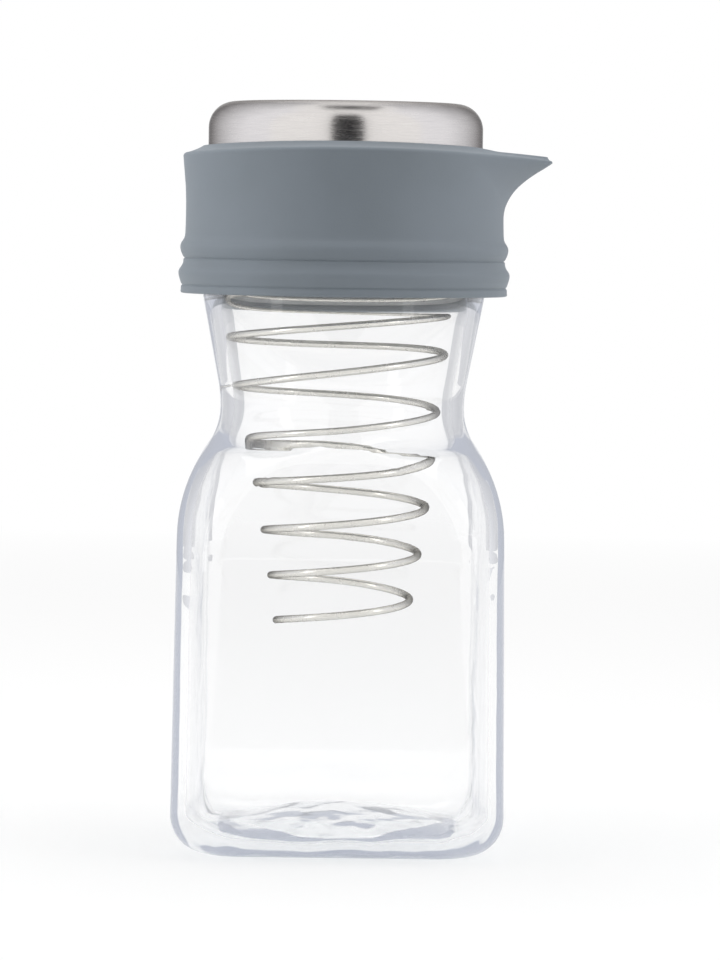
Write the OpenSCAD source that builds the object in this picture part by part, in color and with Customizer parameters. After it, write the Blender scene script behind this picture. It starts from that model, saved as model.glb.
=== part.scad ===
// Shaker bottle for salad dressing: a square glass bottle with a round neck, a loose spring whisk,
// a push-on pourer with a spout, and a stopper cap. Millimetres, +Z up, with the origin at the
// centre of the foot. The spout points along +X.

/* [Glass bottle] */
// Width across the flat sides at the foot
bottle_w = 72; // [64:0.5:87]
// How much narrower the flat sides stand below the shoulder
side_draft = 1.5; // [0:0.1:3]
// Corner radius of the body, seen from above
corner_r = 10.5; // [7:0.5:14]
// Radius of the edge round the foot
foot_r = 9; // [5:0.5:10]
// Height where the flat sides turn into the shoulder
shoulder_z = 69; // [60:1:85]
// Radius of the shoulder's round
shoulder_r = 34; // [26:1:36]
// Outer radius of the waist, the narrowest place in the neck
waist_r = 26.85; // [22:0.05:29]
// Outer radius of the finish, the round top that the pourer grips
finish_r = 31.5; // [30:0.1:38]
// Radius of the bore at the rim
bore_r = 28.2; // [26:0.1:28.4]
// Height of the rim
rim_z = 141; // [136:1:170]
// Height of the finish
finish_h = 20; // [17:0.5:22]
// Wall thickness of the body
wall = 3.3; // [2.5:0.1:4]
// Wall thickness of the neck
neck_wall = 2.9; // [2.4:0.1:3.3]
// Height of the inside floor next to the walls
floor_z = 6; // [5:0.5:9]
// Height of the push-up under the foot
push_up_h = 3; // [1:0.5:4]
// Radius of the push-up under the foot
push_up_r = 22; // [16:1:24]

/* [Whisk] */
// Diameter of the wire
wire_d = 1.6; // [1.2:0.1:2]
// Outer radius of the lowest coil
whisk_foot_r = 15; // [12:0.5:18]
// Length from the free end up to the top ring
whisk_h = 77; // [60:0.5:84]
// Turns between the free end and the top ring
whisk_turns = 7.45; // [6:0.05:8.5]
// How far the coils stand apart from the waist of the neck
whisk_gap = 1.35; // [1:0.05:4]
// How much the coils between waist and rim are drawn apart
whisk_stretch = 2.6; // [0:0.1:4]
// How far the loose coils sway to the side
whisk_sway = 0.5; // [0:0.1:0.8]

/* [Pourer] */
// Wall thickness of the stiff core
core_t = 1.35; // [1.2:0.05:2.5]
// Wall thickness of the silicone sleeve where it is thinnest
skin_t = 1.97; // [1.5:0.01:3]
// Width of the rim between the sleeve's wall and the cap's seat
rim_t = 4.42; // [3.6:0.02:6]
// Height of the sleeve's rim above the glass rim
pourer_h = 13.4; // [12:0.1:17]
// How far the sleeve widens towards its rim
rim_flare = 0.95; // [0:0.01:1.5]
// How far the top of the sleeve falls away at the sides, as the radius of its arch
arch_r = 524; // [300:1:1000]
// Height of the two grip ribs
rib_h = 1.35; // [0.5:0.05:2]
// Length of the spout beyond the sleeve's wall
spout_l = 11; // [6:0.1:13]
// Height over which the spout's underside rises
spout_h = 12.4; // [9:0.1:12.9]
// Wall thickness of the spout
spout_t = 2.2; // [1.8:0.1:3]
// Thickness of the lip that goes into the bottle's bore
lip_t = 2; // [1.5:0.1:2.6]
// Thickness of the silicone ring on the glass rim
neck_seal_t = 1.5; // [1:0.1:2]

/* [Cap] */
// Height of the cap above the pourer's rim
cap_h = 8.5; // [7:0.1:15]
// Radius of the cap's top edge
cap_edge_r = 5.7; // [3:0.1:7]
// Thickness of the steel
steel_t = 0.6; // [0.4:0.05:1]
// Wall thickness of the plastic body
cap_body_t = 1.5; // [1.2:0.1:2]
// Depth of the stopper plug below the pourer's web
plug_h = 7; // [5:0.5:9]

/* [Fits] */
// Radial clearance of the pourer on the glass and of the seal's lips
fit_gap = 0.05; // [0.02:0.01:0.1]
// Clearance between pieces that only pass each other
free_gap = 0.35; // [0.25:0.05:0.5]

/* [Hidden] */
$fn = 96;
beyond = 1;

// Bottle: heights and radii worked out from the driving sizes
foot_half = bottle_w / 2;
side_half = foot_half - side_draft / 2;
neck_z = rim_z - finish_h;
neck_top_r = finish_r - 0.6;
under_waist_r = 14;
over_waist_r = 30;
side_x = side_half - shoulder_r;
waist_dx = waist_r + under_waist_r - side_x;
waist_z = shoulder_z + sqrt(pow(shoulder_r + under_waist_r, 2) - pow(waist_dx, 2));
shoulder_turn = acos(waist_dx / (shoulder_r + under_waist_r));
corner_cut_r = 10;
corner_turn = 63;
corner_reach = (side_half - corner_r) * sqrt(2) + corner_r;
bend_x = waist_r + corner_cut_r * (1 - cos(corner_turn));
bend_z = waist_z - corner_cut_r * sin(corner_turn);
corner_round_r = (corner_reach - bend_x) / (1 - cos(corner_turn));
corner_z = bend_z - corner_round_r * sin(corner_turn);
seam = 0.02;
rim_edge_r = 1.2;
floor_edge_r = 6;
floor_dome_h = 2;
ledge_w = 1;
ledge_h = 1.5;
ledge_r = bore_r - ledge_w;
ledge_z = rim_z - 17;

// Whisk: the ring's wire lies in the corner above the ledge
ring_r = bore_r - free_gap - wire_d / 2;
ring_lift = (wire_d / 2 + free_gap) * norm([ledge_w, ledge_h]) + (ring_r - ledge_r) * ledge_h;
ring_z = ledge_z + ring_lift / ledge_w;
ring_turns = 0.75;
whisk_z = ring_z - whisk_h;
loop_rings = 24;
wire_sides = 6;
sway_wave = 90;
sway_z = waist_z + 14;

// Pourer: radii from the glass outwards, heights from the glass rim upwards
grip_r = finish_r + fit_gap;
core_r = grip_r + core_t;
sleeve_r = core_r + skin_t;
seat_r = sleeve_r - rim_t;
seat_ring_r = seat_r + 1.45;
lip_r = bore_r - free_gap;
throat_r = lip_r - lip_t;
web_z = rim_z + neck_seal_t;
web_t = 1.5;
deck_z = web_z + web_t;
pourer_z = neck_z - 0.1;
skirt_z = pourer_z + 2.6;
lip_z = ring_z + wire_d / 2 + 0.7;
rim_top_z = rim_z + pourer_h;
rim_slope = 1.25;
rim_round = 0.8;
seat_top_z = rim_top_z - 4.4;
spout_top_z = rim_top_z - 3.5;
spout_drop = 0.8;
spout_z = spout_top_z - spout_h;
spout_tip_r = 3;
spout_floor_z = deck_z + 1.2;

// Cap: it stands with the seal's flange on the pourer's deck
cap_r = seat_r - free_gap;
cap_top_z = rim_top_z + cap_h;
cap_low_z = deck_z + 2.5;
cap_in_r = cap_r - steel_t;
flange_t = 1;
flange_z = deck_z + fit_gap;
plug_z = deck_z - plug_h;
plug_r = throat_r - 1.3;
seal_r = throat_r - 0.65;
seal_lip_r = throat_r - fit_gap;
groove_d = 0.4;

// Points along an arc about centre c, from angle a0 to a1
function arc(c, r, a0, a1, n = 8) =
    [for (i = [0:n]) c + r * [cos(a0 + (a1 - a0) * i / n), sin(a0 + (a1 - a0) * i / n)]];

// A smooth step from 0 at a to 1 at b
function ramp(a, b, x) =
    let (t = min(max((x - a) / (b - a), 0), 1)) t * t * (3 - 2 * t);

// How far from upright a line leaves an arc about c, to run through point q above it
function flare(q, c, r) = atan2(q.x - c.x, q.y - c.y) + asin(r / norm(q - c));

// Half width of the flat-sided body at height z, d inside the glass's outer surface
function side_at(z, d) =
    z < shoulder_z
        ? foot_half - d - side_draft / 2 * (z - foot_r) / (shoulder_z - foot_r)
        : z < shoulder_z + (shoulder_r - d) * sin(shoulder_turn)
            ? side_x + sqrt(pow(shoulder_r - d, 2) - pow(z - shoulder_z, 2))
            : waist_r + under_waist_r - sqrt(pow(under_waist_r + d, 2) - pow(waist_z - z, 2));

// The same from the axis to the corner, above the height where the corners start to fade
function corner_at(z, d) =
    z < corner_z + (corner_round_r - d) * sin(corner_turn)
        ? corner_reach - corner_round_r + sqrt(pow(corner_round_r - d, 2) - pow(z - corner_z, 2))
        : waist_r + corner_cut_r - sqrt(pow(corner_cut_r + d, 2) - pow(waist_z - z, 2));
function corner_r_at(z, d) =
    z <= corner_z
        ? corner_r - d
        : max(corner_r - d, (sqrt(2) * side_at(z, d) - corner_at(z, d)) / (sqrt(2) - 1));

// One ring of points round the body: a square of half width half, its corners rounded to radius r
ring_points = 32;
function ring(half, r, z) =
    [for (i = [0:ring_points - 1])
        let (
            turn = 90 * floor(4 * i / ring_points),
            a = 360 * (i + 0.5) / ring_points,
            x = (half - r) * (cos(turn) - sin(turn)) + r * cos(a),
            y = (half - r) * (cos(turn) + sin(turn)) + r * sin(a)
        )
        [x, y, z]];

// The body's rings, from the round edge at its foot up to the waist
function body_rings(d_foot, d_waist, z0, edge, overshoot) =
    let (edge_steps = 6, steps = 13, half = side_at(z0 + edge, d_foot))
    concat(
        [for (i = [0:edge_steps - 1])
            let (a = 90 * i / edge_steps, in = edge * (1 - sin(a)))
            ring(half - in, max(corner_r - d_foot - in, 0.5), z0 + edge * (1 - cos(a)))],
        [ring(half, corner_r - d_foot, z0 + edge)],
        [for (i = [0:steps])
            let (
                z = corner_z + (waist_z - corner_z) * i / steps,
                d = d_foot + (d_waist - d_foot) * i / steps
            )
            ring(side_at(z, d), corner_r_at(z, d), z)],
        overshoot > 0 ? [ring(waist_r - d_waist, waist_r - d_waist, waist_z + overshoot)] : []
    );

// A solid with rings of the same number of points as its skin
module loft(rings) {
    count = len(rings[0]);
    top = count * (len(rings) - 1);
    polyhedron(
        [for (r = rings) each r],
        concat(
            [for (k = [1:count - 2]) [0, k, k + 1]],
            [for (k = [1:count - 2]) [top, top + k + 1, top + k]],
            [for (i = [0:len(rings) - 2], k = [0:count - 1])
                let (a = i * count + k, b = i * count + (k + 1) % count)
                each [[a, b + count, b], [a, a + count, b + count]]]
        )
    );
}

// A ball that stands out h within radius r of a flat ring
module dome(r, h) {
    ball_r = (pow(r, 2) + pow(h, 2)) / (2 * h);
    translate([0, 0, h - ball_r])
        sphere(ball_r, $fn = 200);
}

module glass_body() {
    difference() {
        loft(body_rings(0, 0, 0, foot_r, 0));
        difference() {
            loft(body_rings(wall, neck_wall, floor_z, floor_edge_r, beyond));
            translate([0, 0, floor_z])
                dome(push_up_r, floor_dome_h);
        }
        dome(push_up_r, push_up_h);
    }
}

// An arc over the waist, d inside the outer surface, and the line that runs from it to point q
function neck_line(d, q) =
    let (
        c = [waist_r + over_waist_r, waist_z],
        r = over_waist_r + d,
        turn = flare(q, c, r)
    )
    concat(arc(c, r, 180, 180 - turn, 6), [q]);
function reversed(list) = [for (i = [len(list) - 1:-1:0]) list[i]];

module glass_neck() {
    outer_line = concat(
        neck_line(-seam, [neck_top_r, neck_z]),
        [[finish_r, neck_z + 1]],
        arc([finish_r - rim_edge_r, rim_z - rim_edge_r], rim_edge_r, 0, 90, 6)
    );
    inner_line = concat(
        neck_line(neck_wall + seam, [ledge_r, neck_z - 3]),
        [[ledge_r, ledge_z], [bore_r, ledge_z + ledge_h]],
        arc([bore_r + rim_edge_r, rim_z - rim_edge_r], rim_edge_r, 180, 90, 6)
    );
    rotate_extrude()
        polygon(concat(outer_line, reversed(inner_line)));
}

module glass_bottle() {
    color("aliceblue", 0.35) {
        glass_body();
        glass_neck();
    }
}

// The wire's centre line, by the number of turns from the free end at the lower left
function coil_z(t) =
    let (rise = (whisk_h - whisk_stretch) / whisk_turns)
    min(
        whisk_z + rise * t + whisk_stretch * ramp(0.55, 0.75, t / whisk_turns),
        ring_z
    );
function coil_r(z) =
    let (
        low = whisk_foot_r - wire_d / 2,
        mid = waist_r - neck_wall - whisk_gap - wire_d / 2,
        high = ledge_r - free_gap - wire_d / 2
    )
    z < waist_z
        ? low + (mid - low) * (z - whisk_z) / (waist_z - whisk_z)
        : z < ledge_z
            ? mid + (high - mid) * (z - waist_z) / (ledge_z - waist_z)
            : high + (ring_r - high) * pow((z - ledge_z) / (ring_z - ledge_z), 2);
function coil_x(z) =
    -whisk_sway * cos(360 * (z - sway_z) / sway_wave) * (1 - ramp(waist_z, neck_z, z));
function coil_point(t) =
    let (z = coil_z(t), a = 180 + 360 * t, r = coil_r(z))
    [r * cos(a) + coil_x(z), r * sin(a), z];

function unit(v) = v / norm(v);
function along(path, i) = unit(path[min(i + 1, len(path) - 1)] - path[max(i - 1, 0)]);

// The centre line with a straight stretch of one wire diameter at each end
coil_last = whisk_turns + ring_turns;
coil_steps = ceil(coil_last * loop_rings);
function coil_end(t, way) =
    coil_point(t) + way * wire_d * unit(coil_point(t + 0.01) - coil_point(t - 0.01));
wire_path = concat(
    [coil_end(0, -1)],
    [for (i = [0:coil_steps]) coil_point(coil_last * i / coil_steps)],
    [coil_end(coil_last, 1)]
);

// A round tube of wire_sides sides along a path
module tube(path, d) {
    sides = wire_sides;
    points = [for (i = [0:len(path) - 1])
        let (t = along(path, i), u = unit(cross(t, [0, 0, 1])), v = cross(u, t))
        for (k = [0:sides - 1])
            path[i] + d / 2 * (cos(360 * k / sides) * u + sin(360 * k / sides) * v)];
    last = sides * (len(path) - 1);
    faces = concat(
        [for (k = [1:sides - 2]) [0, k + 1, k]],
        [for (k = [1:sides - 2]) [last, last + k, last + k + 1]],
        [for (i = [0:len(path) - 2], k = [0:sides - 1])
            let (a = i * sides + k, b = i * sides + (k + 1) % sides)
            each [[a, b, b + sides], [a, b + sides, a + sides]]]
    );
    polyhedron(points, faces);
}

// The least gap between the wire and itself, on points half a turn or more apart
function least_gap(path, apart) =
    min([for (i = [0:len(path) - 1 - apart], j = [i + apart:len(path) - 1]) norm(path[i] - path[j])])
    - wire_d;

module whisk() {
    echo(least_gap_of_the_whisk_to_itself = least_gap(wire_path, loop_rings / 2));
    color("silver")
        tube(wire_path, wire_d);
}

module neck_seal() {
    color("gainsboro")
        rotate_extrude()
            translate([lip_r + free_gap / 2, rim_z])
                square([grip_r - free_gap - lip_r, neck_seal_t]);
}

// Distance of the spout's outside beyond the sleeve's wall at height z
function spout_out(z) = spout_l * pow(min(max(0, (z - spout_z) / spout_h), 1), 1.7);

// Half-outline of a round of radius r with straight flanks out to a rounded tip, from the tip
function spout_outline(r, tip, tip_r) =
    let (
        tip_x = tip - tip_r,
        lean = asin((r - tip_r) / tip_x),
        half = arc([tip_x, 0], tip_r, 0, 90 - lean, 4)
    )
    concat(half, [[r * cos(90 - lean), r * sin(90 - lean)], [0, r * cos(lean) / 2 + r / 2]]);

// The same as a closed ring of points at height z, straight across behind the axis
function spout_ring(r, tip, tip_r, z) =
    let (half = spout_outline(r, tip, tip_r))
    concat(
        [for (k = [len(half) - 1:-1:1]) [half[k].x, -half[k].y, z]],
        [for (p = half) [p.x, p.y, z]]
    );

// The spout's outside, which runs into the sleeve's wall
module spout_outside() {
    levels = concat([for (i = [0:8]) spout_z + spout_h * i / 8], [rim_top_z]);
    loft([for (z = levels) spout_ring(sleeve_r - 0.5, sleeve_r + spout_out(z), spout_tip_r, z)]);
}

// The channel that leads from the cap's seat to the spout's tip
module spout_channel() {
    levels = [for (i = [0:6]) spout_floor_z + (rim_top_z + beyond - spout_floor_z) * i / 6];
    tip_r = spout_tip_r - spout_t / 2;
    loft([for (z = levels)
        spout_ring(seat_r - 0.5, max(seat_r + 1, sleeve_r - spout_t + spout_out(z - 1)), tip_r, z)]);
}

module pourer_core() {
    color("whitesmoke")
        difference() {
            rotate_extrude()
                polygon([
                    [grip_r, skirt_z], [core_r, skirt_z], [core_r, deck_z], [seat_ring_r, deck_z],
                    [seat_ring_r, seat_top_z], [seat_r, seat_top_z], [seat_r, deck_z],
                    [throat_r, deck_z], [throat_r, lip_z], [lip_r, lip_z], [lip_r, web_z],
                    [grip_r, web_z]
                ]);
            spout_channel();
        }
}

// The sleeve's outside against height: a slightly hollow wall with two grip ribs
function rib(z, mid, half, h) = abs(z - mid) < half ? h * (1 + cos(180 * (z - mid) / half)) / 2 : 0;
function sleeve_out(z) =
    let (hollow_z = pourer_z + 17, top = rim_top_z - hollow_z, low = 0.85)
    sleeve_r
    + rim_flare * pow(max(0, (z - hollow_z) / top), 2)
    + low * (1 - ramp(pourer_z + 1.6, pourer_z + 12, z))
    + rib(z, pourer_z + 10.1, 2.3, rib_h * 0.65)
    + rib(z, pourer_z + 4.5, 2.3, rib_h * 0.65);

module pourer_sleeve() {
    steps = 40;
    rim_low_z = rim_top_z - rim_slope - rim_round;
    rim_r = sleeve_out(rim_low_z);
    outside = concat(
        [for (i = [0:steps]) let (z = pourer_z + (rim_low_z - pourer_z) * i / steps) [sleeve_out(z), z]],
        arc([rim_r - rim_round, rim_low_z], rim_round, 0, 80, 5)
    );
    color("slategray")
        difference() {
            union() {
                rotate_extrude()
                    polygon(concat(
                        [[grip_r, pourer_z]],
                        outside,
                        [
                            [seat_r + 0.8, rim_top_z], [seat_r, rim_top_z], [seat_r, seat_top_z],
                            [seat_ring_r, seat_top_z], [seat_ring_r, deck_z], [core_r, deck_z],
                            [core_r, skirt_z], [grip_r, skirt_z]
                        ]
                    ));
                difference() {
                    spout_outside();
                    translate([0, 0, pourer_z])
                        cylinder(h = pourer_h + finish_h + beyond, r = sleeve_r - skin_t / 2);
                    arch_cut(spout_drop);
                }
            }
            spout_channel();
            arch_cut(0);
        }
}

// What is above the arched top of the sleeve, or above an arch that lies drop below it
module arch_cut(drop) {
    size = 4 * sleeve_r;
    difference() {
        translate([-size / 2, -size / 2, rim_top_z - drop - 4])
            cube([size, size, 8]);
        translate([0, size, rim_top_z - drop - arch_r])
            rotate([90, 0, 0])
                cylinder(h = 2 * size, r = arch_r, $fn = 360);
    }
}

// The cap's outline from its lower edge to the axis, d inside the steel's outer surface
function cap_line(d) =
    concat(
        [[cap_r - d, cap_low_z]],
        arc([cap_r - cap_edge_r, cap_top_z - cap_edge_r], cap_edge_r - d, 0, 90, 12),
        [[0, cap_top_z - d]]
    );

module cap_shell() {
    color("lightgray")
        rotate_extrude()
            polygon(concat(cap_line(0), reversed(cap_line(steel_t))));
}

module cap_body() {
    color("white")
        rotate_extrude()
            polygon([
                [0, plug_z], [plug_r, plug_z], [plug_r, plug_z + 1],
                [plug_r - groove_d, plug_z + 1], [plug_r - groove_d, flange_z + flange_t],
                [cap_in_r, flange_z + flange_t], [cap_in_r, cap_top_z - cap_edge_r],
                [cap_in_r - cap_body_t, cap_top_z - cap_edge_r],
                [cap_in_r - cap_body_t, flange_z + flange_t + cap_body_t],
                [plug_r - cap_body_t, flange_z + flange_t + cap_body_t],
                [plug_r - cap_body_t, plug_z + cap_body_t], [0, plug_z + cap_body_t]
            ]);
}

module cap_seal() {
    inner = plug_r - groove_d;
    color("gainsboro")
        rotate_extrude()
            polygon(concat(
                [[inner, plug_z + 1], [seal_r, plug_z + 1]],
                [for (z = [plug_z + 2, plug_z + 4.2]) each [[seal_r, z], [seal_lip_r, z + 0.6], [seal_r, z + 1.2]]],
                [
                    [seal_r, flange_z], [seat_r - 1.2, flange_z], [seat_r - 1.2, flange_z + flange_t],
                    [inner, flange_z + flange_t]
                ]
            ));
}

glass_bottle();
whisk();
neck_seal();
pourer_core();
pourer_sleeve();
cap_shell();
cap_body();
cap_seal();
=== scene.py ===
"""Looks of the salad dressing shaker bottle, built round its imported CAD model."""

from math import acos, asin, atan2, cos, exp, hypot, pi, radians, sin, sqrt, tan

import bpy
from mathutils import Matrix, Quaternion, Vector, noise


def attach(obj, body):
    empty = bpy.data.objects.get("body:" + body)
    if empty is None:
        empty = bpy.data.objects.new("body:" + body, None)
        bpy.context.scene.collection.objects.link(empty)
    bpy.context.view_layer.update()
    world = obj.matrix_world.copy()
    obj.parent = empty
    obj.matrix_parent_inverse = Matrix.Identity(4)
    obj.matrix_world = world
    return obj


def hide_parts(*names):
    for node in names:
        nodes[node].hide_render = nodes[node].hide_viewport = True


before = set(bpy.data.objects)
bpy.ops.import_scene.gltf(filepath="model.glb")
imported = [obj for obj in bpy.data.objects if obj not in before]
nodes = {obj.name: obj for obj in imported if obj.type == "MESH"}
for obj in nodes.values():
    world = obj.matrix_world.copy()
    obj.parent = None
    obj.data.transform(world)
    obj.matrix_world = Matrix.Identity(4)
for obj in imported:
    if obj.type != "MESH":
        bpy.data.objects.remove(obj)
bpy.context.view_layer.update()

# The camera: a long lens a metre away, level with the middle of the pourer, tilted down
EYE_Z = 0.1377
DISTANCE = 1.0
TILT = 3.3
ROLL = 0.76
FOCAL = 170.4
SIDE_SHIFT = 0.0195

cam_data = bpy.data.cameras.new("camera")
cam_data.lens = FOCAL
cam_data.sensor_width = 36
cam_data.shift_x = SIDE_SHIFT
cam_data.clip_start = 0.05
cam_data.clip_end = 20
camera = bpy.data.objects.new("camera", cam_data)
camera.rotation_mode = "QUATERNION"
camera.location = (0, -DISTANCE, EYE_Z)
camera.rotation_quaternion = (
    Quaternion((1, 0, 0), radians(90 - TILT)) @ Quaternion((0, 0, 1), radians(ROLL)))
bpy.context.scene.collection.objects.link(camera)
bpy.context.scene.camera = camera
bpy.context.scene.view_settings.view_transform = "Standard"


# Meshes. Sizes are in millimetres up to the point where a mesh is made.
MM = 0.001


def make_mesh(name, points, faces, body, replaced=()):
    mesh = bpy.data.meshes.new(name)
    mesh.from_pydata([Vector(p) * MM for p in points], [], faces)
    mesh.validate()
    mesh.polygons.foreach_set("use_smooth", [True] * len(mesh.polygons))
    obj = bpy.data.objects.new(name, mesh)
    bpy.context.scene.collection.objects.link(obj)
    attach(obj, body)
    if replaced:
        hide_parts(*replaced)
    return obj


def loft(rings, first_pole=None, last_pole=None, closed=False):
    """Points and faces of a skin over rings with equal counts, with a pole point at either end."""
    count = len(rings[0])
    points = [p for ring in rings for p in ring]
    faces = []
    spans = len(rings) if closed else len(rings) - 1
    for i in range(spans):
        j = (i + 1) % len(rings)
        for k in range(count):
            n = (k + 1) % count
            faces.append((i * count + k, i * count + n, j * count + n, j * count + k))
    for pole, row, turn in ((first_pole, 0, 1), (last_pole, len(rings) - 1, 0)):
        if pole is None:
            continue
        points.append(pole)
        tip = len(points) - 1
        for k in range(count):
            a, b = row * count + k, row * count + (k + 1) % count
            faces.append((tip, b, a) if turn else (tip, a, b))
    return points, faces


def arc(cx, cz, r, a0, a1, steps):
    return [(cx + r * cos(radians(a0 + (a1 - a0) * i / steps)),
             cz + r * sin(radians(a0 + (a1 - a0) * i / steps))) for i in range(steps + 1)]


def ramp(a, b, x):
    t = min(max((x - a) / (b - a), 0), 1)
    return t * t * (3 - 2 * t)


def lerp(a, b, t):
    return a + (b - a) * t


# Glass bottle: a square body whose corners fade into a round neck
FOOT_HALF = 36
SIDE_DRAFT = 0.75
CORNER_R = 10.5
FOOT_R = 9
SHOULDER_Z = 69
SHOULDER_R = 34
WAIST_R = 26.85
UNDER_R = 14
OVER_R = 30
CUT_R = 10
CUT_TURN = 63
WALL = 3.3
NECK_WALL = 2.9
NECK_Z = 121
RIM_Z = 141
FINISH_R = 31.5
BORE_R = 28.2
FLOOR_Z = 3.3
FLOOR_DOME = 5.2
FLOOR_EDGE = 6.2
CAVITY_CORNER_R = 7
LOW_CORNER_R = 7.5
FLOOR_CORNER_R = 9
PUSH_UP_R = 22
PUSH_UP_H = 3
FOOT_CORNER_R = 7
RIM_ROUND = 1.2
LEDGE_W = 1
GLASS_IOR = 1.5
# The drop in degrees of the lines of sight that the inner skin is shaped for
SIGHT_DROP = 3

side_half = FOOT_HALF - SIDE_DRAFT
side_x = side_half - SHOULDER_R
waist_dx = WAIST_R + UNDER_R - side_x
waist_z = SHOULDER_Z + sqrt((SHOULDER_R + UNDER_R) ** 2 - waist_dx ** 2)
shoulder_turn = acos(waist_dx / (SHOULDER_R + UNDER_R))
corner_reach = (side_half - CORNER_R) * sqrt(2) + CORNER_R
bend_x = WAIST_R + CUT_R * (1 - cos(radians(CUT_TURN)))
corner_round = (corner_reach - bend_x) / (1 - cos(radians(CUT_TURN)))
corner_z = waist_z - CUT_R * sin(radians(CUT_TURN)) - corner_round * sin(radians(CUT_TURN))


def side_at(z, d):
    if z < SHOULDER_Z:
        return FOOT_HALF - d - SIDE_DRAFT * (z - FOOT_R) / (SHOULDER_Z - FOOT_R)
    if z < SHOULDER_Z + (SHOULDER_R - d) * sin(shoulder_turn):
        return side_x + sqrt((SHOULDER_R - d) ** 2 - (z - SHOULDER_Z) ** 2)
    return WAIST_R + UNDER_R - sqrt((UNDER_R + d) ** 2 - (waist_z - z) ** 2)


def corner_at(z, d):
    if z < corner_z:
        return corner_reach - d
    if z < corner_z + (corner_round - d) * sin(radians(CUT_TURN)):
        return corner_reach - corner_round + sqrt((corner_round - d) ** 2 - (z - corner_z) ** 2)
    return WAIST_R + CUT_R - sqrt((CUT_R + d) ** 2 - (waist_z - z) ** 2)


def corner_r_at(z, d, least):
    if z <= corner_z:
        return least
    free = (sqrt(2) * side_at(z, d) - corner_at(z, d)) / (sqrt(2) - 1)
    return min(max(least, free), side_at(z, d))


QUARTER = 40


def square_ring(half, r, z):
    """A rounded square, its points spread evenly between length and turn."""
    flat, bend = 2 * (half - r), r * pi / 2
    length = flat + bend
    share = 0.5
    per_flat = share / length
    per_bend = share / length + (1 - share) / max(bend, 1e-6)
    quarter = []
    for i in range(QUARTER):
        s = (i + 0.5) / QUARTER
        low = per_flat * flat / 2
        if s < low:
            quarter.append((half, s / per_flat))
        elif s < low + per_bend * bend:
            a = (s - low) / per_bend / max(r, 1e-6)
            quarter.append((half - r + r * cos(a), half - r + r * sin(a)))
        else:
            left = (s - low - per_bend * bend) / per_flat
            quarter.append((half - r - left, half))
    ring = []
    for c, s in ((1, 0), (0, 1), (-1, 0), (0, -1)):
        ring += [(x * c - y * s, x * s + y * c, z) for x, y in quarter]
    return ring


def tilt_at(z):
    """How far the outer side leans back at the height z."""
    if z < SHOULDER_Z:
        return 0
    if z < SHOULDER_Z + SHOULDER_R * sin(shoulder_turn):
        return asin((z - SHOULDER_Z) / SHOULDER_R)
    return asin(max(waist_z - z, 0) / UNDER_R)


def bend_at(tilt):
    """How far below level a line of sight that drops by SIGHT_DROP runs inside the glass."""
    return tilt - asin(sin(tilt - radians(SIGHT_DROP)) / GLASS_IOR)


def thinning(tilt, steps=16):
    """What the wall keeps of its depth at a tilt, so that what is behind it shows unbent."""
    total = 0
    for i in range(steps):
        low, high = tilt * i / steps, tilt * (i + 1) / steps
        inside = asin(sin((low + high) / 2 - radians(SIGHT_DROP)) / GLASS_IOR)
        total += tan(inside) * (bend_at(high) - bend_at(low))
    return exp(-total)


def body_rings(wall, neck_wall, z0, edge, corner, low_corner, foot_corner):
    """Rings from the foot's edge up to the waist, with corners that grow rounder in the edge.

    An inner skin follows the outer one a little lower on the shoulder, where it thins.
    """
    rings = []
    half = side_at(z0 + edge, wall)
    for i in range(14):
        a = radians(90 * i / 14)
        inset = edge * (1 - sin(a))
        r = lerp(low_corner, foot_corner, (inset / edge) ** 0.7)
        rings.append(square_ring(half - inset, min(r, half - inset), z0 + edge * (1 - cos(a))))
    steps = 100
    for i in range(steps + 1):
        z = z0 + edge + (waist_z - z0 - edge) * (i / steps)
        d = lerp(wall, neck_wall, i / steps) * thinning(tilt_at(z))
        turn = bend_at(tilt_at(z)) - bend_at(0)
        side, depth = side_at(z, 0) - d * cos(turn), d * sin(turn)
        least = lerp(low_corner, corner, ramp(z0 + edge, z0 + edge + 16, z))
        r = max(least, corner_r_at(z, 0, CORNER_R) - d * cos(turn))
        rings.append(square_ring(side, min(r, side), z - depth))
    return rings


def neck_line(d, end):
    """The arc over the waist and the line that runs from it to the point end."""
    cx, r = WAIST_R + OVER_R, OVER_R + d
    dx, dz = end[0] - cx, end[1] - waist_z
    turn = atan2(dx, dz) + asin(r / hypot(dx, dz))
    line = [(cx - r * cos(turn * i / 16), waist_z + r * sin(turn * i / 16)) for i in range(1, 17)]
    last = line[-1]
    return line + [(lerp(last[0], end[0], i / 5), lerp(last[1], end[1], i / 5)) for i in range(1, 6)]


def round_rings(line):
    return [square_ring(r, r, z) for r, z in line]


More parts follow.
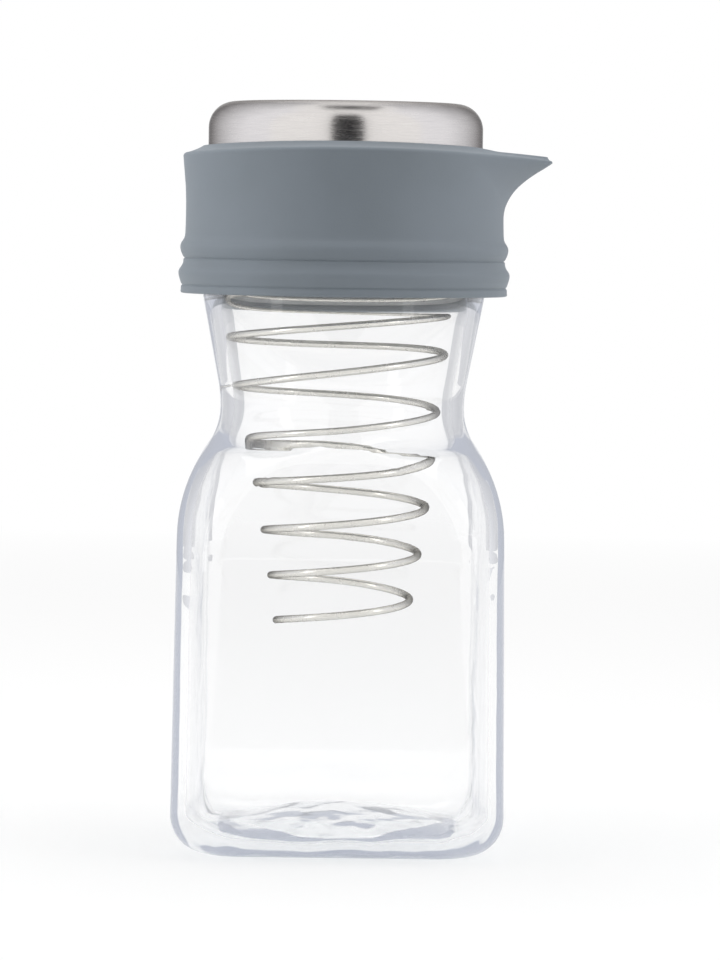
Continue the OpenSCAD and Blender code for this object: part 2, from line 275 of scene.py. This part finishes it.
def glass_rings():
    """The outer skin from the foot to the rim, and the inner one from the rim to the floor."""
    outer = []
    dome_r = (PUSH_UP_R ** 2 + PUSH_UP_H ** 2) / (2 * PUSH_UP_H)
    for i in range(1, 22):
        r = PUSH_UP_R * i / 21
        outer.append(square_ring(r, r, PUSH_UP_H - dome_r + sqrt(dome_r ** 2 - r ** 2)))
    foot = body_rings(0, 0, 0, FOOT_R, CORNER_R, CORNER_R, FOOT_CORNER_R)
    ring_r = foot[0][0][0]
    for i in range(1, 6):
        h = lerp(PUSH_UP_R, ring_r, i / 6)
        outer.append(square_ring(h, lerp(PUSH_UP_R, FOOT_CORNER_R, i / 6), 0))
    outer += foot
    outer += round_rings(neck_line(0, (FINISH_R - 0.42, NECK_Z)))
    outer += round_rings([(FINISH_R - 0.2, NECK_Z + 0.4), (FINISH_R, NECK_Z + 1)])
    outer += round_rings([(FINISH_R, z) for z in (125, 130, 135, 139)])
    outer += round_rings(arc(FINISH_R - RIM_ROUND, RIM_Z - RIM_ROUND, RIM_ROUND, 0, 90, 8))
    inner = round_rings(arc(BORE_R + RIM_ROUND, RIM_Z - RIM_ROUND, RIM_ROUND, 90, 180, 8))
    inner += round_rings([(BORE_R, z) for z in (137, 133, 129, 126)])
    inner += round_rings([(BORE_R - 0.1, 125.4), (BORE_R - 0.9, 124.1),
                          (BORE_R - LEDGE_W, 123.6)])
    inner += round_rings(neck_line(NECK_WALL, (BORE_R - LEDGE_W, NECK_Z - 3)))[::-1]
    cavity = body_rings(WALL, NECK_WALL, FLOOR_Z, FLOOR_EDGE, CAVITY_CORNER_R, LOW_CORNER_R,
                        FLOOR_CORNER_R)
    inner += cavity[::-1][1:]
    floor_half = cavity[0][0][0]
    for i in range(1, 22):
        h = floor_half * (1 - i / 22)
        inner.append(square_ring(h, min(h, lerp(h, FLOOR_CORNER_R, ramp(14, floor_half, h))),
                                 FLOOR_Z + FLOOR_DOME * (1 - (h / floor_half) ** 2)))
    return outer, inner


def wavy(p, size, amount, seed):
    """A point moved sideways by smooth noise, as the skin of pressed glass is."""
    v = Vector(p)
    q = v / size + Vector((seed, seed * 2.3, seed * 0.7))
    away = Vector((v.x, v.y, 0)).normalized()
    return v + away * amount * noise.noise(q)


def rippled(p, size, amount, seed):
    """A point raised or sunk by smooth noise, as the floor of a pressed bottle is."""
    v = Vector(p)
    return v + Vector((0, 0, amount * noise.noise(v / size + Vector((seed, seed * 1.7, 0)))))


def inner_waves(p):
    """Long and short waves of the inner wall, the short ones only near its left and right."""
    p_long = wavy(p, 24, 0.12, 8.4)
    return wavy(p_long, 4, 0.04 * ramp(20, 30, abs(p[0])), 1.7)


def floor_ripples(p):
    """Long and short ripples of the inner floor, which fade out up the wall."""
    p_long = rippled(p, 9, 0.4 * ramp(14, 8, p[2]), 5.3)
    return rippled(p_long, 3.5, 0.12 * ramp(12, 7, p[2]), 2.9)


def foot_ripples(p):
    """Ripples of the raised part under the foot. The face it stands on stays flat."""
    return rippled(p, 6, 0.35 * ramp(0, 1, p[2]) * ramp(24, 18, hypot(p[0], p[1])), 3.1)


outer, inner = glass_rings()
inner = [[inner_waves(p) for p in ring] for ring in inner]
inner = [[floor_ripples(p) for p in ring] for ring in inner]
outer = [[foot_ripples(p) for p in ring] for ring in outer]
points, faces = loft(outer + inner, (0, 0, PUSH_UP_H), (0, 0, FLOOR_Z + FLOOR_DOME))
glass = make_mesh("glass_bottle_skin", points, faces, "bottle", ["glass_bottle"])


# Whisk: one wire wound as a cone, its last turn a flat ring
WIRE_R = 0.8
RING_R = 27.05
RING_Z = 125.85
WHISK_H = 77
WHISK_Z = RING_Z - WHISK_H
LOWEST_TURN_R = 14.2
WHISK_GAP = 1.35
FREE_GAP = 0.35
WHISK_TURNS = 7.45
STRETCH = 2.6
SWAY = 0.5
SWAY_WAVE = 90
SWAY_RISE = 14
# How far the turns in the neck are moved left, and those on the right more left and up
LEFT_ALL = 0.8
LEFT_RIGHT_SIDE = 1.3
UP_RIGHT_SIDE = 2.1
LAST_TURN = WHISK_TURNS + 0.75
LEDGE_Z = 124


def soft_min(a, b, width):
    """The smaller of a and b, with a rounded change from one to the other."""
    return (a + b - sqrt((a - b) ** 2 + width ** 2)) / 2


def coil_point(t):
    """The middle of the wire after t turns from its lower end."""
    rise = (WHISK_H - STRETCH) / WHISK_TURNS
    z = WHISK_Z + rise * t + STRETCH * ramp(0.55, 0.75, t / WHISK_TURNS)
    z = soft_min(z, RING_Z, 0.12)
    low = LOWEST_TURN_R
    mid = WAIST_R - NECK_WALL - WHISK_GAP - WIRE_R
    high = BORE_R - LEDGE_W - FREE_GAP - WIRE_R
    if z < waist_z:
        r = lerp(low, mid, (z - WHISK_Z) / (waist_z - WHISK_Z))
    elif z < LEDGE_Z:
        r = lerp(mid, high, (z - waist_z) / (LEDGE_Z - waist_z))
    else:
        r = lerp(high, RING_R, min(1, (z - LEDGE_Z) / (RING_Z - LEDGE_Z)) ** 2)
    sway = cos(2 * pi * (z - waist_z - SWAY_RISE) / SWAY_WAVE)
    side = -SWAY * sway * (1 - ramp(waist_z, NECK_Z, z))
    a = pi + 2 * pi * t
    lean = ramp(88, 98, z) * (1 - ramp(119, 123, z))
    right = (1 + cos(a)) / 2
    side -= lean * (LEFT_ALL + LEFT_RIGHT_SIDE * right * ramp(106, 117, z))
    z += UP_RIGHT_SIDE * right * lean * (1 - 0.4 * ramp(110, 117, z))
    return Vector((r * cos(a) + side, r * sin(a), z))


def tube(path, radius, sides):
    """Points and faces of a round wire along path, rounded at both ends."""
    rings = []
    for i, p in enumerate(path):
        along = (path[min(i + 1, len(path) - 1)] - path[max(i - 1, 0)]).normalized()
        u = along.cross(Vector((0, 0, 1))).normalized()
        v = u.cross(along)
        rings.append((p, u, v, along))
    skin = []
    first, last = rings[0], rings[-1]
    p, u, v, along = first
    for k in (3, 2, 1):
        a = radians(90 * k / 4)
        skin.append((p - along * radius * sin(a), u, v, radius * cos(a)))
    for p, u, v, along in rings:
        skin.append((p, u, v, radius))
    p, u, v, along = last
    for k in (1, 2, 3):
        a = radians(90 * k / 4)
        skin.append((p + along * radius * sin(a), u, v, radius * cos(a)))
    shown = [[c + r * (cos(2 * pi * k / sides) * u + sin(2 * pi * k / sides) * v)
              for k in range(sides)] for c, u, v, r in skin]
    start = first[0] - first[3] * radius
    end = last[0] + last[3] * radius
    return loft(shown, start, end)


TURN_STEPS = 56
WIRE_SIDES = 14
count = int(LAST_TURN * TURN_STEPS)
wire_path = [coil_point(LAST_TURN * i / count) for i in range(count + 1)]
points, faces = tube(wire_path, WIRE_R, WIRE_SIDES)
whisk = make_mesh("whisk_wire", points, faces, "whisk", ["whisk"])


# Pourer sleeve: a ribbed skin with an arched rim and a spout towards +X
GRIP_R = 31.57
CORE_R = 32.9
SLEEVE_R = 34.87
SEAT_R = 30.45
SEAT_RING_R = 31.9
SLEEVE_Z = 120.9
SKIRT_Z = 123.5
DECK_Z = 144
SEAT_TOP_Z = 150
LIP_TOP_Z = 154.1
RIM_RISE = 1.25
SPOUT_RISE = 0.65
ARCH_R = 524
SPOUT_T = 2.2
SPOUT_TIP_R = 3
SPOUT_FLOOR_Z = 145.2
OUTLINE_STEP = 0.15
OUTLINE_STEPS = 86

# Radius of the wall against height: a lower band, two ribs with a crease under each, a flare
WALL_LINE = [
    (120.9, 35.9), (121.8, 35.84), (122.45, 35.78), (122.7, 35.5), (122.95, 35.74),
    (123.5, 35.96), (124, 36.11), (124.5, 36.26), (124.9, 36.35), (125.35, 36.38), (125.8, 36.33),
    (126.2, 36.14), (126.6, 35.86), (127.1, 35.56), (127.6, 35.39), (128, 35.33), (128.35, 35.3),
    (128.6, 35.04), (128.85, 35.34), (129.3, 35.57), (129.7, 35.76), (130.2, 35.91),
    (130.6, 36), (131.05, 36.03), (131.5, 35.96), (131.9, 35.8), (132.4, 35.5), (132.8, 35.24),
    (133.3, 35.07), (133.8, 35), (134.6, 34.95), (136.6, 34.89), (138.5, 34.87), (141.2, 34.88),
    (144.3, 35), (147.4, 35.26), (150.5, 35.53), (153.5, 35.75),
]
# How far the spout stands beyond SLEEVE_R against height
SPOUT_LINE = [
    (138.4, 0), (140.2, 0.3), (141.7, 0.88), (143.3, 1.8), (144.8, 3.05), (146.4, 4.85),
    (148, 7.1), (149.4, 9.35), (150.3, 10.6), (150.9, 10.95),
]


def along_line(line, z):
    """The value at z of a smooth line through the points of line."""
    if z <= line[0][0]:
        return line[0][1]
    if z >= line[-1][0]:
        return line[-1][1]
    i = next(k for k in range(len(line) - 1) if z <= line[k + 1][0])
    slopes = []
    for k in (i, i + 1):
        low, high = line[max(k - 1, 0)], line[min(k + 1, len(line) - 1)]
        slopes.append((high[1] - low[1]) / (high[0] - low[0]))
    (z0, v0), (z1, v1) = line[i], line[i + 1]
    t, span = (z - z0) / (z1 - z0), z1 - z0
    return ((2 * t ** 3 - 3 * t ** 2 + 1) * v0 + (t ** 3 - 2 * t ** 2 + t) * span * slopes[0]
            + (3 * t ** 2 - 2 * t ** 3) * v1 + (t ** 3 - t ** 2) * span * slopes[1])


def beak(theta, body_r, tip, tip_r):
    """Distance from the axis to a round of radius body_r joined to a small round at tip."""
    reach = tip - tip_r
    if reach <= body_r - tip_r + 0.01:
        return body_r
    theta = abs(theta)
    edge = acos((body_r - tip_r) / reach)
    if theta >= edge:
        return body_r
    tangent = atan2(tip_r * sin(edge), reach + tip_r * cos(edge))
    if theta > tangent:
        return body_r / cos(edge - theta)
    return reach * cos(theta) + sqrt(tip_r ** 2 - (reach * sin(theta)) ** 2)


def arch(r, theta):
    """How much lower the arched rim lies than at its middle."""
    return (r * cos(theta)) ** 2 / (2 * ARCH_R)


def sleeve_section(theta):
    """One closed outline of the sleeve at the angle theta, as (r, z) points."""
    def out(z):
        tip = SLEEVE_R + along_line(SPOUT_LINE, z)
        return beak(theta, along_line(WALL_LINE, z), tip, SPOUT_TIP_R)

    def within(z, least):
        tip = SLEEVE_R - SPOUT_T + along_line(SPOUT_LINE, z - 1)
        if z <= SPOUT_FLOOR_Z:
            return least
        return max(least, beak(theta, SEAT_R, tip, SPOUT_TIP_R - 1.1))

    edge_r = out(152)
    beyond = ramp(0, 3, edge_r - along_line(WALL_LINE, 152))
    rise = lerp(RIM_RISE, SPOUT_RISE, beyond)
    round_r = lerp(0.8, 0.55, beyond)
    top_z = LIP_TOP_Z - RIM_RISE - arch(edge_r, theta)
    edge_z = top_z - round_r
    foot_r = out(SLEEVE_Z)
    outline = [(GRIP_R + 0.3, SLEEVE_Z), (lerp(GRIP_R, foot_r, 0.5), SLEEVE_Z)]
    outline += arc(foot_r - 0.4, SLEEVE_Z + 0.4, 0.4, -90, 0, 4)
    outline += [(out(z), z) for z in
                (SLEEVE_Z + 0.5 + OUTLINE_STEP * i for i in range(OUTLINE_STEPS))]
    low_z = SLEEVE_Z + 0.5 + OUTLINE_STEP * OUTLINE_STEPS
    outline += [(out(z), z) for z in (lerp(low_z, edge_z, i / 44) for i in range(44))]
    edge_r = out(edge_z)
    outline += arc(edge_r - round_r, edge_z, round_r, 0, 84, 7)
    lip_r = within(LIP_TOP_Z - 0.4, SEAT_R)
    lip_z = top_z + arch(edge_r, theta) - arch(lip_r, theta) + rise
    low_r = edge_r - round_r
    for i in range(1, 7):
        t = i / 7
        r = lerp(low_r, lip_r + 0.75, t)
        outline.append((r, lerp(top_z, lip_z - 0.12, t) - 0.12 * sin(pi * t)))
    outline += [(lip_r + 0.72, lip_z - 0.03), (lip_r + 0.55, lip_z), (lip_r + 0.25, lip_z),
                (lip_r + 0.05, lip_z - 0.2)]
    outline += [(within(z, SEAT_R), z) for z in
                (lerp(lip_z - 0.6, SEAT_TOP_Z + 0.05, i / 8) for i in range(9))]
    outline += [(within(z, SEAT_RING_R), z) for z in
                (lerp(SEAT_TOP_Z, SPOUT_FLOOR_Z, i / 9) for i in range(10))]
    return outline + [(SEAT_RING_R, SPOUT_FLOOR_Z - 0.01), (SEAT_RING_R, DECK_Z),
                      (CORE_R, DECK_Z), (CORE_R, 134), (CORE_R, SKIRT_Z), (GRIP_R, SKIRT_Z),
                      (GRIP_R, SLEEVE_Z + 0.3)]


half_angles = [54 * (i / 70) ** 1.5 for i in range(71)] + [54 + 2 * i for i in range(1, 63)]
angles = [radians(a) for a in half_angles] + [pi] + [radians(-a) for a in half_angles[:0:-1]]
sections = []
for theta in angles:
    sections.append([(r * cos(theta), r * sin(theta), z) for r, z in sleeve_section(theta)])
points, faces = loft(sections, closed=True)
sleeve = make_mesh("pourer_sleeve_skin", points, [f[::-1] for f in faces], "pourer",
                   ["pourer_sleeve"])


# Cap shell: drawn from 0.6 mm steel
CAP_R = 30.1
CAP_TOP_Z = 162.9
CAP_LOW_Z = 146.5
CAP_EDGE = 5.7
STEEL = 0.6
CAP_SEGMENTS = 200


def revolve(line, segments, first_pole, last_pole):
    rings = [[(r * cos(2 * pi * k / segments), r * sin(2 * pi * k / segments), z)
              for k in range(segments)] for r, z in line]
    return loft(rings, first_pole, last_pole)


def cap_line(d):
    """The shell's line from its lower edge to the middle of its top, d inside the outer face."""
    line = [(CAP_R - d, CAP_LOW_Z + 0.1), (CAP_R - d, 150), (CAP_R - d, 154)]
    line += arc(CAP_R - CAP_EDGE, CAP_TOP_Z - CAP_EDGE, CAP_EDGE - d, 0, 88, 18)
    return line + [(r, CAP_TOP_Z - d - 0.01) for r in (22, 18, 12, 6, 1)]


outline = cap_line(0)[::-1] + [(CAP_R - 0.15, CAP_LOW_Z), (CAP_R - STEEL + 0.15, CAP_LOW_Z)]
outline += cap_line(STEEL)
points, faces = revolve(outline, CAP_SEGMENTS, (0, 0, CAP_TOP_Z), (0, 0, CAP_TOP_Z - STEEL))
cap = make_mesh("cap_shell_steel", points, [f[::-1] for f in faces], "cap",
                ["cap_shell"])


# Materials
def material(name):
    mat = bpy.data.materials.new(name)
    mat.use_nodes = True
    tree = mat.node_tree
    return mat, tree, tree.nodes["Principled BSDF"], tree.nodes["Material Output"]


def add(tree, kind, **values):
    node = tree.nodes.new(kind)
    for key, value in values.items():
        if key in node.inputs:
            node.inputs[key].default_value = value
        else:
            setattr(node, key, value)
    return node


def link(tree, a, a_socket, b, b_socket):
    tree.links.new(a.outputs[a_socket], b.inputs[b_socket])


def srgb(r, g, b):
    def one(c):
        c /= 255
        return c / 12.92 if c <= 0.04045 else ((c + 0.055) / 1.055) ** 2.4
    return (one(r), one(g), one(b), 1)


def object_noise(tree, scale, detail=3, stretch=(1, 1, 1)):
    """Noise in the object's own space, stretched along its axes."""
    place = add(tree, "ShaderNodeTexCoord")
    mapping = add(tree, "ShaderNodeMapping", Scale=stretch)
    tex = add(tree, "ShaderNodeTexNoise", Scale=scale, Detail=detail)
    link(tree, place, "Object", mapping, "Vector")
    link(tree, mapping, "Vector", tex, "Vector")
    return tex


def spread(tree, source, socket, low, high, from_low=0.3, from_high=0.7):
    node = add(tree, "ShaderNodeMapRange")
    node.inputs["From Min"].default_value = from_low
    node.inputs["From Max"].default_value = from_high
    node.inputs["To Min"].default_value = low
    node.inputs["To Max"].default_value = high
    link(tree, source, socket, node, "Value")
    return node


def colour_mix(tree, source, socket, low, high):
    ramp_node = add(tree, "ShaderNodeValToRGB")
    ramp_node.color_ramp.elements[0].color = low
    ramp_node.color_ramp.elements[1].color = high
    link(tree, source, socket, ramp_node, "Fac")
    return ramp_node


def bump(tree, source, socket, strength, distance):
    node = add(tree, "ShaderNodeBump", Strength=strength, Distance=distance)
    link(tree, source, socket, node, "Height")
    return node


def silicone_grey():
    mat, tree, skin, _ = material("grey_silicone")
    cloud = object_noise(tree, 40, 4)
    tint = colour_mix(tree, cloud, "Fac", srgb(135, 144, 152), srgb(140, 149, 158))
    tint.color_ramp.elements[0].position = 0.35
    tint.color_ramp.elements[1].position = 0.65
    link(tree, tint, "Color", skin, "Base Color")
    grain = object_noise(tree, 2600, 2)
    link(tree, bump(tree, grain, "Fac", 0.12, 0.0002), "Normal", skin, "Normal")
    matte = spread(tree, cloud, "Fac", 0.52, 0.62)
    link(tree, matte, "Result", skin, "Roughness")
    skin.inputs["Specular IOR Level"].default_value = 0.35
    skin.inputs["Sheen Weight"].default_value = 0.12
    skin.inputs["Sheen Roughness"].default_value = 0.5
    return mat


def silicone_clear():
    mat, tree, skin, _ = material("clear_silicone")
    cloud = object_noise(tree, 60, 3)
    tint = colour_mix(tree, cloud, "Fac", srgb(214, 217, 218), srgb(226, 228, 228))
    link(tree, tint, "Color", skin, "Base Color")
    link(tree, spread(tree, cloud, "Fac", 0.35, 0.5), "Result", skin, "Roughness")
    skin.inputs["Subsurface Weight"].default_value = 0.2
    skin.inputs["Subsurface Scale"].default_value = 0.002
    return mat


def plastic_white():
    mat, tree, skin, _ = material("white_plastic")
    cloud = object_noise(tree, 30, 3)
    tint = colour_mix(tree, cloud, "Fac", srgb(232, 234, 233), srgb(240, 241, 240))
    link(tree, tint, "Color", skin, "Base Color")
    grain = object_noise(tree, 1800, 2)
    link(tree, bump(tree, grain, "Fac", 0.1, 0.0002), "Normal", skin, "Normal")
    link(tree, spread(tree, cloud, "Fac", 0.38, 0.48), "Result", skin, "Roughness")
    return mat


def steel_brushed():
    """Steel brushed round its axis: the lines run round the wall and in rings on the top."""
    mat, tree, skin, _ = material("brushed_steel")
    place = add(tree, "ShaderNodeTexCoord")
    split = add(tree, "ShaderNodeSeparateXYZ")
    link(tree, place, "Object", split, "Vector")
    radius = add(tree, "ShaderNodeMath", operation="POWER")
    square = [add(tree, "ShaderNodeMath", operation="MULTIPLY") for _ in range(2)]
    for node, axis in zip(square, "XY"):
        tree.links.new(split.outputs[axis], node.inputs[0])
        tree.links.new(split.outputs[axis], node.inputs[1])
    total = add(tree, "ShaderNodeMath", operation="ADD")
    tree.links.new(square[0].outputs[0], total.inputs[0])
    tree.links.new(square[1].outputs[0], total.inputs[1])
    tree.links.new(total.outputs[0], radius.inputs[0])
    radius.inputs[1].default_value = 0.5
    angle = add(tree, "ShaderNodeMath", operation="ARCTAN2")
    tree.links.new(split.outputs["Y"], angle.inputs[0])
    tree.links.new(split.outputs["X"], angle.inputs[1])
    across = add(tree, "ShaderNodeMath", operation="ADD")
    tree.links.new(radius.outputs[0], across.inputs[0])
    tree.links.new(split.outputs["Z"], across.inputs[1])
    join = add(tree, "ShaderNodeCombineXYZ")
    slow = add(tree, "ShaderNodeMath", operation="MULTIPLY")
    slow.inputs[1].default_value = 0.0012
    tree.links.new(angle.outputs[0], slow.inputs[0])
    tree.links.new(slow.outputs[0], join.inputs["X"])
    tree.links.new(across.outputs[0], join.inputs["Y"])
    lines = add(tree, "ShaderNodeTexNoise", Scale=4200, Detail=3)
    link(tree, join, "Vector", lines, "Vector")
    tint = colour_mix(tree, lines, "Fac", srgb(220, 216, 214), srgb(232, 228, 225))
    tint.color_ramp.elements[0].position = 0.25
    tint.color_ramp.elements[1].position = 0.75
    link(tree, tint, "Color", skin, "Base Color")
    link(tree, spread(tree, lines, "Fac", 0.2, 0.29), "Result", skin, "Roughness")
    link(tree, bump(tree, lines, "Fac", 0.05, 0.0001), "Normal", skin, "Normal")
    tangent = add(tree, "ShaderNodeTangent", direction_type="RADIAL", axis="Z")
    link(tree, tangent, "Tangent", skin, "Tangent")
    skin.inputs["Metallic"].default_value = 1
    skin.inputs["Specular Tint"].default_value = srgb(150, 148, 147)
    skin.inputs["Anisotropic"].default_value = 0.7
    skin.inputs["Anisotropic Rotation"].default_value = 0.25
    return mat


def steel_wire():
    mat, tree, skin, _ = material("wire")
    streak = object_noise(tree, 500, 3)
    tint = colour_mix(tree, streak, "Fac", srgb(228, 226, 219), srgb(238, 235, 229))
    link(tree, tint, "Color", skin, "Base Color")
    link(tree, spread(tree, streak, "Fac", 0.2, 0.3), "Result", skin, "Roughness")
    skin.inputs["Metallic"].default_value = 1
    skin.inputs["Specular Tint"].default_value = srgb(120, 119, 117)
    return mat


# Light that is still in the glass after more reflections or bounces than these gets one grey, which
# the glass paints on as a glow in place of the light those paths would bring
MOST_REFLECTIONS = 3
MOST_BOUNCES = 11


def clear_glass():
    mat, tree, skin, out = material("glass")
    skin.inputs["Transmission Weight"].default_value = 1
    skin.inputs["IOR"].default_value = GLASS_IOR
    skin.inputs["Roughness"].default_value = 0.0
    # Painted shade: the glass turns grey where its face is seen at a glancing angle, standing in for
    # the dark edges of thick glass
    edge = add(tree, "ShaderNodeLayerWeight", Blend=0.25)
    tint = colour_mix(tree, edge, "Facing", (1, 1, 1, 1), srgb(198, 200, 206))
    tint.color_ramp.elements[0].position = 0.35
    clear = add(tree, "ShaderNodeBsdfTransparent", Color=(0.96, 0.97, 0.97, 1))
    # Painted light: once a path is that deep, the glass turns black and glows one grey instead of
    # letting light through
    path = add(tree, "ShaderNodeLightPath")
    lost = add(tree, "ShaderNodeMath", operation="GREATER_THAN")
    lost.inputs[1].default_value = MOST_REFLECTIONS + 0.5
    link(tree, path, "Glossy Depth", lost, 0)
    late = add(tree, "ShaderNodeMath", operation="GREATER_THAN")
    late.inputs[1].default_value = MOST_BOUNCES + 0.5
    link(tree, path, "Ray Depth", late, 0)
    either = add(tree, "ShaderNodeMath", operation="MAXIMUM")
    link(tree, lost, 0, either, 0)
    link(tree, late, 0, either, 1)
    link(tree, either, 0, skin, "Emission Strength")
    skin.inputs["Emission Color"].default_value = srgb(142, 145, 153)
    keep = add(tree, "ShaderNodeMix", data_type="RGBA")
    tree.links.new(either.outputs[0], keep.inputs[0])
    tree.links.new(tint.outputs["Color"], keep.inputs[6])
    keep.inputs[7].default_value = (0, 0, 0, 1)
    tree.links.new(keep.outputs[2], skin.inputs["Base Color"])
    mix = add(tree, "ShaderNodeMixShader")
    link(tree, path, "Is Shadow Ray", mix, "Fac")
    tree.links.new(skin.outputs[0], mix.inputs[1])
    tree.links.new(clear.outputs[0], mix.inputs[2])
    tree.links.new(mix.outputs[0], out.inputs["Surface"])
    dim = add(tree, "ShaderNodeVolumeAbsorption", Density=9, Color=srgb(205, 212, 222))
    tree.links.new(dim.outputs[0], out.inputs["Volume"])
    return mat


finishes = {
    "glass": clear_glass(), "wire": steel_wire(), "clear_silicone": silicone_clear(),
    "white_plastic": plastic_white(), "grey_silicone": silicone_grey(),
    "brushed_steel": steel_brushed(),
}
for obj, slot in ((glass, "glass"), (whisk, "wire"), (sleeve, "grey_silicone"),
                  (cap, "brushed_steel")):
    obj.data.materials.append(finishes[slot])
for name, slot in (("glass_bottle", "glass"), ("whisk", "wire"), ("neck_seal", "clear_silicone"),
                   ("pourer_core", "white_plastic"), ("pourer_sleeve", "grey_silicone"),
                   ("cap_shell", "brushed_steel"), ("cap_body", "white_plastic"),
                   ("cap_seal", "clear_silicone")):
    nodes[name].data.materials.clear()
    nodes[name].data.materials.append(finishes[slot])


# Stage: a pale floor with a soft shadow, a white surround, three dark cards, two grey
# screens and three lamps. Sizes are in metres from here on.
def plane(name, size_x, size_y, place, turn=(0, 0, 0)):
    mesh = bpy.data.meshes.new(name)
    x, y = size_x / 2, size_y / 2
    mesh.from_pydata([(-x, -y, 0), (x, -y, 0), (x, y, 0), (-x, y, 0)], [], [(0, 1, 2, 3)])
    obj = bpy.data.objects.new(name, mesh)
    obj.location = place
    obj.rotation_euler = turn
    bpy.context.scene.collection.objects.link(obj)
    return obj


def white_to_rays(tree, strength, plain, seen):
    """Sets a strength of seen for camera, glossy and transmission rays, and plain for the rest."""
    path = add(tree, "ShaderNodeLightPath")
    any_ray = add(tree, "ShaderNodeMath", operation="MAXIMUM")
    more = add(tree, "ShaderNodeMath", operation="MAXIMUM")
    tree.links.new(path.outputs["Is Camera Ray"], any_ray.inputs[0])
    tree.links.new(path.outputs["Is Glossy Ray"], any_ray.inputs[1])
    tree.links.new(any_ray.outputs[0], more.inputs[0])
    tree.links.new(path.outputs["Is Transmission Ray"], more.inputs[1])
    level = add(tree, "ShaderNodeMapRange")
    level.inputs["To Min"].default_value = plain
    level.inputs["To Max"].default_value = seen
    tree.links.new(more.outputs[0], level.inputs["Value"])
    tree.links.new(level.outputs["Result"], strength)


world = bpy.data.worlds.new("studio")
world.use_nodes = True
bpy.context.scene.world = world
background = world.node_tree.nodes["Background"]
background.inputs["Color"].default_value = (1, 1, 1, 1)
white_to_rays(world.node_tree, background.inputs["Strength"], 0.45, 1.0)

floor = plane("floor", 6, 6, (0, 0, -0.0005))
floor_mat, tree, floor_skin, _ = material("pale_floor")
floor_skin.inputs["Base Color"].default_value = (0.85, 0.85, 0.85, 1)
floor_skin.inputs["Roughness"].default_value = 0.9
floor_skin.inputs["Specular IOR Level"].default_value = 0
floor_skin.inputs["Emission Color"].default_value = (1, 1, 1, 1)
white_to_rays(tree, floor_skin.inputs["Emission Strength"], 0.0, 1.0)
place = add(tree, "ShaderNodeTexCoord")
reach = add(tree, "ShaderNodeVectorMath", operation="LENGTH")
link(tree, place, "Object", reach, 0)
# The floor is lit and takes the shadow near the object, and glows plain white far from it
FLOOR_NEAR = 0.2
FLOOR_FAR = 1.0
fade = spread(tree, reach, "Value", 0.24, 1.0, FLOOR_NEAR, FLOOR_FAR)
link(tree, fade, "Result", floor_skin, "Emission Color")
shade = spread(tree, reach, "Value", 0.85, 0.0, FLOOR_NEAR, FLOOR_FAR)
link(tree, shade, "Result", floor_skin, "Base Color")
floor.data.materials.append(floor_mat)

card_mat, _, card_skin, _ = material("dark_card")
card_skin.inputs["Base Color"].default_value = (0.01, 0.01, 0.012, 1)
card_skin.inputs["Roughness"].default_value = 1
card_front = plane("card_front", 0.66, 2.2, (0.04, -1.35, 0.8), (radians(90), 0, 0))
card_over = plane("card_over", 0.5, 0.45, (0.05, 0, 1.3))
card_floor = plane("card_floor", 0.34, 1.0, (0.025, -0.78, 0.002))
for obj in (card_front, card_over, card_floor):
    obj.data.materials.append(card_mat)
    obj.visible_camera = False
    obj.visible_transmission = False
card_floor.visible_shadow = False
card_floor.visible_diffuse = False


def screen(name, start, end, radius=0.9, height=2.2, steps=40):
    """A curved grey screen beside the object, from one bearing to another off straight behind."""
    points = []
    for i in range(steps + 1):
        a = radians(start + (end - start) * i / steps)
        points += [(radius * sin(a), radius * cos(a), z) for z in (0, height)]
    mesh = bpy.data.meshes.new(name)
    mesh.from_pydata(points, [], [(2 * i, 2 * i + 2, 2 * i + 3, 2 * i + 1) for i in range(steps)])
    obj = bpy.data.objects.new(name, mesh)
    bpy.context.scene.collection.objects.link(obj)
    obj.data.materials.append(screen_mat)
    obj.visible_camera = False
    obj.visible_diffuse = False
    obj.visible_shadow = False


screen_mat, tree, screen_skin, _ = material("grey_screen")
screen_skin.inputs["Base Color"].default_value = (0, 0, 0, 1)
screen_skin.inputs["Specular IOR Level"].default_value = 0
screen_skin.inputs["Emission Color"].default_value = (0.95, 0.96, 1, 1)
place = add(tree, "ShaderNodeTexCoord")
split = add(tree, "ShaderNodeSeparateXYZ")
link(tree, place, "Object", split, "Vector")
# Darker towards the back, and less so to reflections than through the glass
SCREEN_DEPTH = 0.85
back = spread(tree, split, "Y", 0.8, 0.22, 0, SCREEN_DEPTH)
in_steel = spread(tree, split, "Y", 1.0, 0.62, 0, SCREEN_DEPTH)
path = add(tree, "ShaderNodeLightPath")
level = add(tree, "ShaderNodeMix", data_type="FLOAT")
tree.links.new(path.outputs["Is Glossy Ray"], level.inputs[0])
tree.links.new(back.outputs["Result"], level.inputs[2])
tree.links.new(in_steel.outputs["Result"], level.inputs[3])
tree.links.new(level.outputs[0], screen_skin.inputs["Emission Strength"])
screen("screen_left", -15, -115)
screen("screen_right", 15, 115)


def lamp(name, size, power, place, aim):
    data = bpy.data.lights.new(name, "AREA")
    data.shape = "SQUARE"
    data.size = size
    data.energy = power
    obj = bpy.data.objects.new(name, data)
    obj.location = place
    way = Vector(aim) - Vector(place)
    obj.rotation_euler = way.to_track_quat("-Z", "Y").to_euler()
    obj.visible_camera = False
    obj.visible_glossy = False
    bpy.context.scene.collection.objects.link(obj)


lamp("lamp_left", 1.0, 5.5, (-1.0, -0.2, 0.35), (0, 0, 0.09))
lamp("lamp_right", 1.0, 4.2, (1.0, -0.2, 0.35), (0, 0, 0.09))
lamp("lamp_top", 1.2, 6, (0, 0.1, 1.2), (0, 0, 0.1))
